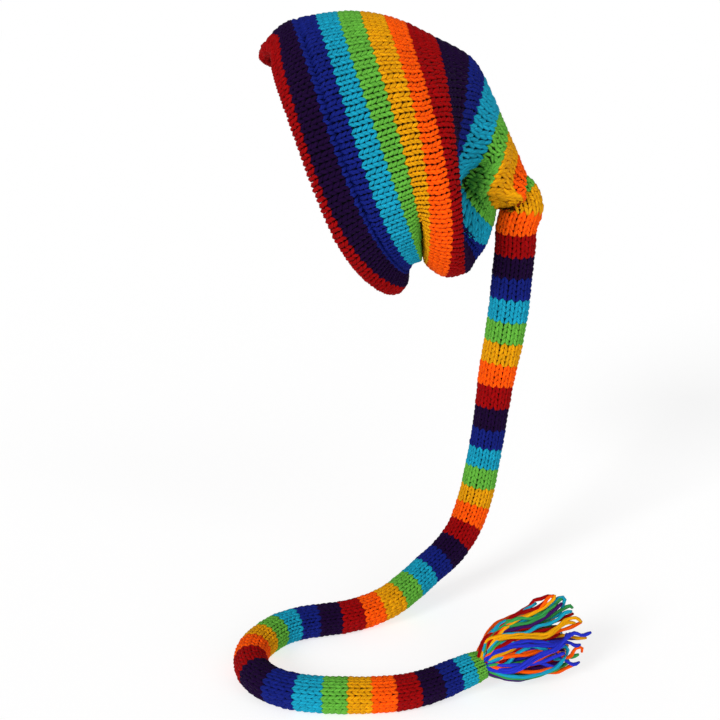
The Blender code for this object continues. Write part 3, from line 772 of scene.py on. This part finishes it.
# The middle line past the elbow, as shares of TAIL_LENGTH, and its radius as a share of
# TAIL_RADIUS: it hangs, reaches the ground and lies in a loop
ROUTE = (
    (-0.005, 0.002, -0.016, 0.99),
    (-0.006, 0.005, -0.043, 0.98),
    (-0.008, 0.008, -0.075, 0.98),
    (-0.011, 0.008, -0.116, 0.98),
    (-0.016, 0.008, -0.156, 0.96),
    (-0.023, 0.006, -0.196, 0.91),
    (-0.028, 0.003, -0.237, 0.84),
    (-0.033, 0.002, -0.277, 0.83),
    (-0.039, -0.002, -0.312, 0.84),
    (-0.047, -0.006, -0.350, 0.85),
    (-0.058, -0.016, -0.377, 0.83),
    (-0.079, -0.032, -0.403, 0.82),
    (-0.104, -0.050, -0.419, 0.80),
    (-0.129, -0.071, -0.433, 0.79),
    (-0.154, -0.090, -0.443, 0.78),
    (-0.175, -0.100, -0.448, 0.78),
    (-0.200, -0.111, -0.450, 0.77),
    (-0.226, -0.119, -0.450, 0.77),
    (-0.250, -0.127, -0.450, 0.77),
    (-0.270, -0.140, -0.450, 0.77),
    (-0.286, -0.161, -0.450, 0.77),
    (-0.297, -0.185, -0.450, 0.77),
    (-0.300, -0.213, -0.450, 0.77),
    (-0.294, -0.239, -0.450, 0.77),
    (-0.280, -0.260, -0.450, 0.77),
    (-0.257, -0.276, -0.450, 0.77),
    (-0.229, -0.284, -0.450, 0.77),
    (-0.197, -0.286, -0.450, 0.77),
    (-0.165, -0.285, -0.450, 0.76),
    (-0.136, -0.279, -0.450, 0.75),
    (-0.110, -0.269, -0.448, 0.74),
    (-0.087, -0.258, -0.444, 0.72),
    (-0.071, -0.252, -0.440, 0.70),
)
# Where stripes end along the tail, in metres from the mouth. Those from 15 to 18 lie hidden
# in the kink.
TAIL_MARKS = (
    (18.5, 0.0), (19, 0.0042), (20, 0.0148), (21, 0.031), (26, 0.112), (30, 0.177),
    (34, 0.237), (38, 0.300), (42, 0.362), (46, 0.425), (49, 0.470), (52, 0.527),
    (56, 0.588), (60, 0.643), (61, 0.6505))
TAIL_WALES = 14
TAIL_AROUND = 180  # points on a ring of its cloth
PATH_SAMPLES = 4000


def length_along(line):
    """The length of a line from its start to each of its points."""
    return np.concatenate([[0], np.cumsum(np.linalg.norm(np.diff(line, axis=0), axis=1))])


def carried(side, way):
    """A direction carried along a line without twist: at each point the last one less its
    part along the line there."""
    sides = []
    for direction in way:
        side = unit(side - direction * np.dot(side, direction))
        sides.append(side)
    return np.array(sides)


def tail_path():
    """The tail's middle line and radius, sampled finely, and the length along it: a lead
    inside the crown, an arc out of its mouth, the route's smooth curve, and the straight
    tip."""
    last = dict(zip(SECTION_COLUMNS, SECTIONS[-1]))
    top = np.array([last["top_x"], 0, last["top_z"]]) * OPENING_LENGTH
    under = np.array([last["under_x"], 0, last["under_z"]]) * OPENING_LENGTH
    rise = unit(top - under)
    start = (top + under) / 2 + np.array([rise[2], 0, -rise[0]]) * CLEARANCE
    bend = TAIL_RADIUS + ELBOW_SLACK
    pivot = start - rise * bend
    angle = np.linspace(np.arctan2(rise[2], rise[0]), 0, ELBOW_POINTS)
    elbow = pivot + bend * np.stack([np.cos(angle), 0 * angle, np.sin(angle)], -1)
    route = columns(("x", "y", "z", "radius"), ROUTE)
    points = np.stack([route["x"], route["y"], route["z"]], -1) * TAIL_LENGTH + elbow[-1]
    points = np.vstack([elbow[-1], points])
    radii = np.concatenate([[1.0], route["radius"]]) * TAIL_RADIUS
    knots = length_along(points)
    fine = np.linspace(0, knots[-1], PATH_SAMPLES)
    line = spline(fine, knots, points)
    reach = np.linspace(TIP_LENGTH / TIP_POINTS, TIP_LENGTH, TIP_POINTS)[:, None]
    tip = line[-1] + unit(line[-1] - line[-2]) * reach
    radius = np.concatenate([np.full(ELBOW_POINTS, TAIL_RADIUS), spline(fine, knots, radii)])
    gathered = radius[-1] * np.linspace(1, TIP_GATHERED, TIP_POINTS)
    radius = np.concatenate([radius, gathered])
    inside = elbow[0] + unit(elbow[0] - elbow[1]) * LEAD
    line = np.vstack([inside, elbow[:-1], line, tip])
    return line, radius, length_along(line)


def tail_cloth():
    """Rings square to the tail's line, one for each grid row from a course before the
    mouth, carried along it without twist. A ring starts on the tail's outer side and passes
    the wearer's left first. Also the stripe of the last ring."""
    line, radius, length = tail_path()
    marks = columns(("stripe", "at"), TAIL_MARKS)
    first = marks["stripe"][0] - COURSE
    stripes = np.arange(first, marks["stripe"][-1], ROW_STEP)
    at = np.clip(spline(stripes, marks["stripe"], marks["at"]) + LEAD, 0, length[-1])
    centre = np.stack([np.interp(at, length, line[:, k]) for k in range(3)], -1)
    girth = np.interp(at, length, radius)
    way = np.gradient(line, axis=0)
    way = unit(np.stack([np.interp(at, length, way[:, k]) for k in range(3)], -1))
    lefts = carried(np.array([0.0, -1.0, 0.0]), way)
    angle = np.linspace(0, 2 * np.pi, TAIL_AROUND, endpoint=False)
    rings = circles(angle, np.cross(lefts, way), lefts)
    rings = centre[:, None] + girth[:, None, None] * rings
    return cloth_of(rings, first), stripes[-1]


def tail_places(stripe):
    """The places of a tail course's stitches, which run straight on."""
    share = (np.arange(TAIL_WALES) + 0.5) / TAIL_WALES + FIRST_SECTOR
    return share, share, np.full(TAIL_WALES, 1 / TAIL_WALES)


tail, tail_last = tail_cloth()
tail_courses = np.arange(tail["first"] + COURSE * 1.5, tail_last, COURSE)
knit_courses("tail", tail, tail_courses, tail_places, "tail", 50)
tail_rows = np.arange(tail["first"], tail_last + COURSE / 2, COURSE / 2)
backing("tail_backing", tail, tail_rows, TAIL_WALES, reverse_at=0.0042, bumps=0.0004,
        node="tail")

# Tassel. Eighty lengths of all seven yarns, knotted inside the tail's tip. Most are cut,
# some are left as loops, and they fan out along the ground. Their blue, green and purple are
# brighter than in the knitting.
LOOSE_YARNS = {
    "purple": (0.050, 0.006, 0.110),
    "navy": (0.018, 0.030, 0.52),
    "green": (0.035, 0.30, 0.070),
}
STRAND_RADIUS = 0.00118
STRAND_SIDES = 10
STRAND_STEP = 0.0026  # between two rings of the tube
STRAND_LOBES = 0.13  # two plies show as a twisted section, by this share of the radius
STRAND_TURN = 0.7  # how far the section turns in one step, in radians
STRAND_ENDS = 0.7  # the end rings, as a share of the radius
STRAND_TILE = 8  # rings to one tile of the map
STRAND_LOOSE = 0.0003  # how far its points are moved at random
ROOTS = 0.006  # the strands leave the tail inside this radius
ROOT_DEPTH = 0.004  # and start this far inside it
SPREAD_BY = 0.030  # the near strands have come as near as they lie by this far out
DRAWN_OUT = 1.055  # they run this much further out than their rows say
# The strands on the near side: yarn, how near they lie, and their course as the camera
# sees it, in millimetres to the right of the tail's tip and above it
STRANDS = (
    ("purple", 9, ((2, -4), (9, -7.8), (15.4, -10.1), (20.6, -10.8), (28, -9.6), (40, -6))),
    ("green", 10, ((2, -3), (10.8, -6.8), (19.9, -8.6), (28.4, -9.3), (38.9, -7.5),
        (48, -5.2))),
    ("orange", 9, ((4, -3), (20, -5), (35, -6.5), (48, -7.3), (54.6, -5.6), (58.5, -3.3))),
    ("red", 8, ((2, -1), (20, -3), (40, -0.7), (47.4, 0), (52, 1))),
    ("green", 9, ((2, 0), (18, 0), (35, 2), (48, 2.3), (55, 1), (60.8, 2))),
    ("navy", 12, ((2, 2), (22, 8), (43.5, 7.2), (46.7, 4.6), (52, -0.7), (57, -3.2),
        (60.8, -2))),
    ("cyan", 11, ((2, 3), (30, 8), (48, 8.5), (51.3, 9.2), (53.3, 5.9), (51, 3), (44, 1))),
    ("orange", 12, ((2, 3), (30, 8), (44, 7.8), (47.4, 5.2), (51.3, 1.8), (55, 2.8),
        (58.3, 6.3), (62, 7.2), (62.6, 3.9))),
    ("purple", 11, ((2, 4), (30, 11), (52, 13.7), (57.8, 13.2))),
    ("yellow", 11, ((2, 4), (30, 13), (53.3, 15.4), (58.5, 13.7), (65.4, 13.4))),
    ("navy", 13, ((2, 4), (30, 12), (48, 12.4), (53.3, 11.1), (58.5, 9.2), (61.1, 9.8))),
    ("orange", 14, ((2, -1), (19.9, -3.3), (28.4, -3.9), (37.6, -4.6), (44, -4))),
    ("navy", 13, ((3, -1), (15, -1.5), (25.8, 0), (35, 0.2), (42, -3), (47, -3.5))),
    ("red", 13, ((1, 3), (6.2, 1), (12.1, 2.6), (16.7, 7.5), (22.5, 11.4), (38.2, 15.7),
        (48, 18))),
    ("cyan", 14, ((2, 1), (9, 0), (14.7, 1.6), (18.6, 6.2), (28.4, 11.8), (40, 14))),
    ("orange", 15, ((0, 4), (6.2, 2.3), (11.4, -0.3), (17, -2), (28.4, 0.7), (37.6, 4.9),
        (45.4, 7.8))),
    ("cyan", 15, ((0, 0), (6.9, -4.2), (13.4, -6.2), (23.2, -6.9), (35, -5.9), (44.1, -3.3),
        (49.3, 0), (51, 4))),
    ("cyan", 8, ((-1, 10), (2.9, 19.6), (6.2, 23.5), (10.8, 26.8), (14.7, 27.8), (28.4, 35.3),
        (33, 38))),
    ("red", 9, ((-3, 7), (-1, 15.5), (4.2, 20.6), (14, 27.5), (23.2, 32.7), (31, 34.3),
        (35, 36.6), (41, 40.5))),
    ("red", 7, ((0, 9), (12, 26), (24, 33.5), (28.4, 35.9), (31.7, 39.2), (36.3, 40.7),
        (41.5, 41.7), (45.4, 41))),
    ("green", 8, ((0, 10), (8.8, 23.5), (16.7, 28.8), (24.5, 30.7), (35, 31), (42.8, 34.6),
        (48, 39.2), (50.3, 40))),
    ("orange", 9, ((1, 9), (16, 27), (31, 33.3), (37.6, 37.3), (41.5, 41.2), (44, 42.4))),
    ("yellow", 10, ((1, 9), (18, 27), (33.7, 33.3), (40.2, 36.6), (44.1, 40.5), (45.6, 42.4))),
    ("cyan", 8, ((1, 8), (20, 25), (40, 33), (48, 39.6), (51, 39.2), (51.4, 35.9), (48, 31),
        (36, 26))),
    ("green", 10, ((0, 9), (12, 25.3), (21.9, 29.4), (31.7, 28.8), (39, 31.5), (46, 37))),
    ("green", 11, ((0, 9), (3.6, 19.8), (10.8, 23.5), (18, 24.8), (28.4, 26.1), (35, 28.8),
        (42, 31))),
    ("purple", 12, ((0, 7), (5, 17), (12.1, 20.9), (20.6, 22.9), (29.7, 24.8), (37.6, 28.8),
        (43.5, 32.7), (48.7, 37.3))),
    ("red", 12, ((0, 7), (4.2, 18.4), (10.8, 20.8), (28, 23), (44.8, 26.1), (51.3, 28.4),
        (57.2, 30.1))),
    ("green", 9, ((1, 7), (20, 21), (40, 28), (50, 33), (55, 34.5), (56.5, 33))),
    ("cyan", 14, ((0, 7), (6, 17), (15.4, 20), (25.8, 20.9), (33.7, 23.5), (40.2, 25.5),
        (46.1, 27.5), (51.3, 31.7), (55.2, 32))),
    ("orange", 14, ((0, 5), (12, 14), (24, 17), (36.3, 17), (46.7, 20.3), (54.6, 22.2),
        (61.1, 24.2))),
    ("cyan", 16, ((-1, 6), (2.9, 11.4), (10.8, 14.4), (18.6, 14), (28.4, 12.5), (40, 9))),
    ("yellow", 16, ((-2, 5), (-1, 11), (2.3, 16), (12.1, 19.3), (20.6, 19.8), (31.7, 19.2),
        (37.6, 19), (44.8, 23), (52, 27.2), (58.5, 27), (61, 25))),
    ("yellow", 17, ((-1.5, 4), (-0.5, 9), (3, 14.3), (12.1, 17.7), (20.6, 18.2), (31.7, 17.7),
        (38, 17.4), (45.2, 21.4), (52, 25.6), (57, 25.4))),
    ("navy", 17, ((0, 3), (6.2, 10.8), (15.4, 13.8), (23.2, 15.6), (35, 14.8), (44.1, 12.1),
        (50, 15), (52.3, 19.3))),
    ("navy", 18, ((0, 2), (6.2, 8.9), (15.4, 12), (24, 13.6), (35, 12.6), (43, 11.4),
        (49, 14), (53, 18.3), (55.5, 17.5))),
    ("navy", 19, ((0, 0), (4, -0.8), (10.8, -2), (17.3, -1.6), (24.5, 2.6), (33.7, 7.2),
        (42.8, 9.8), (49.3, 13.7), (55.9, 18.6), (61.1, 17.3), (67, 18.3))),
    ("navy", 18, ((0, -1), (10.8, -3.7), (18.3, -3.2), (25.7, 1.0), (34.5, 5.6), (43.5, 8.4),
        (50, 12.2))),
)
# The rest of the bundle, inside it and on the far side, by share of the way out along it
FAN = ((0.0, 0.18), (0.12, 0.45), (0.32, 0.78), (0.60, 0.95), (1.0, 1.0))
FILL_COUNT = 42
FILL_REACH = 0.057  # how far out they run
FILL_SHORTER = 0.12  # the outermost by this share less
FILL_UNEVEN = 0.04  # and all by this share at random
FILL_SIZE = 0.021  # half the bundle's height and depth
FILL_UP = 0.002  # its middle lies above the axis
FILL_BACK = 0.006  # and on the far side of it
FILL_WAVE = 0.0014  # how far they wave at random
LOOP_EVERY = 4  # one in this many turns back as a loop
LOOP_TURN = 0.003  # it turns this far out and down
LOOP_WIDE = 0.006  # and comes back this far below
TASSEL_RISE = 0.10  # slope of the tassel's middle


def wavy(points, rng):
    """A smooth line through the points, in steps of about STRAND_STEP, slightly off them at
    random, and nowhere under the ground."""
    points = points + rng.normal(0, STRAND_LOOSE, points.shape)
    knots = length_along(points)
    steps = int(round(knots[-1] / STRAND_STEP))
    line = spline(np.linspace(0, knots[-1], steps + 1), knots, points)
    line[:, 2] = np.maximum(line[:, 2], cad_low[2] + STRAND_RADIUS)
    return line


def seen_strand(root, axis, nearness, course, rng):
    """A strand laid in the camera's view: right and up as seen, and towards the camera by
    its nearness less what the bundle's middle recedes there."""
    right, up = np.array(course).T / 1000
    right = right * DRAWN_OUT
    over, down = np.cos(CAMERA_DOWN), np.sin(CAMERA_DOWN)
    near = ROOTS + (nearness / 1000 - ROOTS) * ramp(right / SPREAD_BY)
    toward = near - right * axis[1] / axis[0] / over
    seen = np.outer(right, [1, 0, 0]) + np.outer(up, [0, down, over])
    points = root + seen + np.outer(toward, [0, -over, down])
    return wavy(np.vstack([root - axis * ROOT_DEPTH, points]), rng)


def filling_strand(root, axis, i, rng):
    """A strand of the rest: its place in the bundle's section goes by the golden angle, and
    it fans out by the steps of FAN. Some turn back as a loop."""
    up = unit(np.array([0, 0, 1]) - axis * axis[2])
    far = np.cross(up, axis)
    share = np.sqrt((i + 0.5) / FILL_COUNT)
    bearing = i * np.pi * (3 - np.sqrt(5))
    height = FILL_SIZE * share * np.sin(bearing) + FILL_UP
    depth = FILL_SIZE * share * np.cos(bearing) + FILL_BACK
    way, swell = np.array(FAN).T
    reach = FILL_REACH * (1 - FILL_SHORTER * share**2 + rng.normal(0, FILL_UNEVEN))
    wave = rng.normal(0, FILL_WAVE, (2, len(way))) * np.sin(np.pi * way)
    offset = np.outer(height * swell + wave[0], up) + np.outer(depth * swell + wave[1], far)
    points = root + np.outer(-ROOT_DEPTH + (reach + ROOT_DEPTH) * way, axis) + offset
    if i % LOOP_EVERY == 0:
        turn = points[-1] + axis * LOOP_TURN - up * LOOP_TURN
        points = np.vstack([points, turn, points[-2::-1] - up * LOOP_WIDE * way[-2::-1, None]])
    return wavy(points, rng)


def strand_tube(line, tile):
    """A strand: a tube of two-lobed section that turns steadily along its line, narrowed
    at both ends."""
    way = unit(np.gradient(line, axis=0))
    sides = carried(np.array([0.3, 0.2, 1.0]), way)  # from any side of the line
    angle = 2 * np.pi * np.arange(STRAND_SIDES) / STRAND_SIDES
    ring = np.arange(len(line))
    lobes = np.cos(2 * (angle - STRAND_TURN * ring[:, None]))
    girth = STRAND_RADIUS * (1 + STRAND_LOBES * lobes)
    girth[[0, -1]] *= STRAND_ENDS
    rings = line[:, None] + girth[..., None] * circles(angle, sides, np.cross(way, sides))
    quads, caps = tube_faces(1, len(line), STRAND_SIDES)
    place = (ring[:-1, None] % STRAND_TILE + np.array([0, 1])) / STRAND_TILE
    return rings.reshape(-1, 3), quads, caps, *tube_map(tile, place, STRAND_SIDES)


def make_tassel():
    """One piece for each yarn, with all its strands."""
    path, _, _ = tail_path()
    root = path[-1]
    out = unit(path[-1] - path[-5]) * np.array([1, 1, 0])
    axis = unit(unit(out) + np.array([0, 0, TASSEL_RISE]))
    rng = np.random.default_rng(70)
    loose = dict(yarns)
    for name, colour in LOOSE_YARNS.items():
        loose[name] = yarn_finish("loose_" + name, colour)
    made = {name: [] for name, _ in YARNS}
    for name, nearness, course in STRANDS:
        made[name].append(seen_strand(root, axis, nearness, course, rng))
    for i in range(FILL_COUNT):
        made[YARNS[(3 * i) % len(YARNS)][0]].append(filling_strand(root, axis, i, rng))
    for name, lines in made.items():
        parts = [strand_tube(line, rng.integers(0, TILES * TILES)) for line in lines]
        first = np.cumsum([0] + [len(part[0]) for part in parts[:-1]])
        points, quads, caps, quad_map, cap_map = zip(*parts)
        faces = [np.concatenate([f + n for f, n in zip(kind, first)]) for kind in (quads, caps)]
        uvs = [np.concatenate(quad_map), np.concatenate(cap_map)]
        new_piece("tassel_" + name, np.concatenate(points), faces, uvs, loose[name],
                  "tassel")


make_tassel()

# Floor and light. A plain pale floor under the tail, a main light from the upper left and a
# weaker, wider one from the right, both from in front, and a white studio round them.
FLOOR_SIZE = 60.0
FLOOR_GAP = 0.0002  # between it and the hat's lowest point
FLOOR_GREY = (0.45, 0.45, 0.45, 1)
FLOOR_GLOW = 0.68  # its own light, so that it shows as white as the studio
WHITE = (1, 1, 1, 1)
SKY_LIGHT = 0.30  # what the studio adds to the hat's light
# Each light: its strength, how wide it is, its angle off the vertical, and its turn
LIGHTS = (("main", 1.8, 18, 64, -36), ("front", 1.2, 60, 66, 26))

edge = FLOOR_SIZE / 2
floor_z = cad_low[2] - FLOOR_GAP
corners = [(-edge, -edge), (edge, -edge), (edge, edge), (-edge, edge)]
floor_mesh = bpy.data.meshes.new("floor")
floor_mesh.from_pydata([(x, y, floor_z) for x, y in corners], [], [(0, 1, 2, 3)])
floor_mesh.materials.append(new_finish("pale_floor", {
    "Base Color": FLOOR_GREY, "Roughness": 0.9, "Specular IOR Level": 0.1,
    "Emission Color": WHITE, "Emission Strength": FLOOR_GLOW}))
floor = bpy.data.objects.new("floor", floor_mesh)
bpy.context.scene.collection.objects.link(floor)

for name, energy, softness, from_top, turned in LIGHTS:
    light = bpy.data.lights.new(name, "SUN")
    light.energy = energy
    light.angle = np.radians(softness)
    lamp = bpy.data.objects.new(name, light)
    lamp.rotation_euler = (np.radians(from_top), 0, np.radians(turned))
    bpy.context.scene.collection.objects.link(lamp)

studio = bpy.data.worlds.new("studio")
studio.use_nodes = True
sky = studio.node_tree
glow = sky.nodes["Background"]
glow.inputs[0].default_value = WHITE
glow.inputs[1].default_value = SKY_LIGHT
seen = add_node(sky, "ShaderNodeBackground", {0: WHITE, 1: 1.0})
ray = add_node(sky, "ShaderNodeLightPath").outputs["Is Camera Ray"]
mixed = add_node(sky, "ShaderNodeMixShader", {0: ray, 1: glow.outputs[0], 2: seen.outputs[0]})
sky.links.new(mixed.outputs[0], sky.nodes["World Output"].inputs[0])
bpy.context.scene.world = studio
bpy.context.scene.view_settings.view_transform = "Standard"
